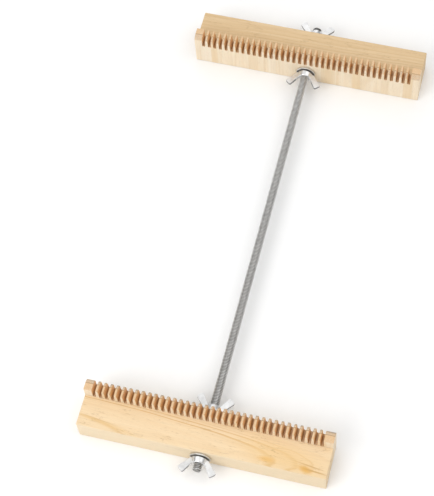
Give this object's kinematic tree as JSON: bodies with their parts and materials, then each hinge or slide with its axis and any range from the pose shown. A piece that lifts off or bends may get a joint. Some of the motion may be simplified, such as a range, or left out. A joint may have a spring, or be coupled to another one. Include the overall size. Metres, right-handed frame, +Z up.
{
  "type": "adjustable tabletop loom",
  "caption": "Tabletop weaving loom: toothed pine bars clamped across a threaded rod by wing nuts and washers, so their spacing adjusts.",
  "frame": {"origin": "on the table under the middle of the loom: centre of the overall box, at its base", "axes": "+X along the bars to the right, +Y along the rod from the front bar to the rear bar, +Z up"},
  "size_m": [0.25, 0.5376, 0.042],
  "materials": {
    "pine_block": "sanded pine, unfinished, long grain along the bar",
    "pine_comb": "sanded pine, unfinished, grain up the teeth",
    "zinc_rod": "dull zinc-plated thread",
    "zinc_washer": "bright zinc plate",
    "zinc_nut": "bright zinc plate, cast surface"
  },
  "bodies": {
    "rod": {"threaded_rod": "zinc_rod"},
    "front_washers": {"front_outer_washer": "zinc_washer", "front_inner_washer": "zinc_washer"},
    "front_bar": {"front_block": "pine_block", "front_comb": "pine_comb"},
    "front_outer_nut": {"front_outer_wing_nut": "zinc_nut"},
    "front_inner_nut": {"front_inner_wing_nut": "zinc_nut"},
    "rear_washers": {"rear_inner_washer": "zinc_washer", "rear_outer_washer": "zinc_washer"},
    "rear_bar": {"rear_block": "pine_block", "rear_comb": "pine_comb"},
    "rear_inner_nut": {"rear_inner_wing_nut": "zinc_nut"},
    "rear_outer_nut": {"rear_outer_wing_nut": "zinc_nut"}
  },
  "joints": [
    {"name": "front_bar_travel", "type": "slide", "parent": "rod", "child": "front_washers", "axis": [0, 1, 0], "range_m": [-0.006, 0.18]},
    {"name": "front_bar_swivel", "type": "hinge", "parent": "front_washers", "child": "front_bar", "pos_m": [0, -0.205, 0.015], "axis": [0, 1, 0], "continuous": true},
    {"name": "front_outer_nut_spin", "type": "hinge", "parent": "front_washers", "child": "front_outer_nut", "pos_m": [0, -0.2524, 0.015], "axis": [0, 1, 0], "range_deg": [-1728.1, 51840.1]},
    {"name": "front_inner_nut_spin", "type": "hinge", "parent": "front_washers", "child": "front_inner_nut", "pos_m": [0, -0.2026, 0.015], "axis": [0, 1, 0], "range_deg": [-1728.1, 51840.1]},
    {"name": "rear_bar_travel", "type": "slide", "parent": "rod", "child": "rear_washers", "axis": [0, -1, 0], "range_m": [-0.003, 0.18]},
    {"name": "rear_bar_swivel", "type": "hinge", "parent": "rear_washers", "child": "rear_bar", "pos_m": [0, 0.205, 0.015], "axis": [0, -1, 0], "continuous": true},
    {"name": "rear_outer_nut_spin", "type": "hinge", "parent": "rear_washers", "child": "rear_outer_nut", "pos_m": [0, 0.2524, 0.015], "axis": [0, -1, 0], "range_deg": [-864.1, 51840.1]},
    {"name": "rear_inner_nut_spin", "type": "hinge", "parent": "rear_washers", "child": "rear_inner_nut", "pos_m": [0, 0.2026, 0.015], "axis": [0, -1, 0], "range_deg": [-864.1, 51840.1]}
  ],
  "couplings": [
    {"joint": "front_outer_nut_spin", "follows": "front_bar_travel", "rad_per_m": 3957.9},
    {"joint": "front_inner_nut_spin", "follows": "front_bar_travel", "rad_per_m": 3957.9},
    {"joint": "rear_outer_nut_spin", "follows": "rear_bar_travel", "rad_per_m": 3957.9},
    {"joint": "rear_inner_nut_spin", "follows": "rear_bar_travel", "rad_per_m": 3957.9}
  ]
}
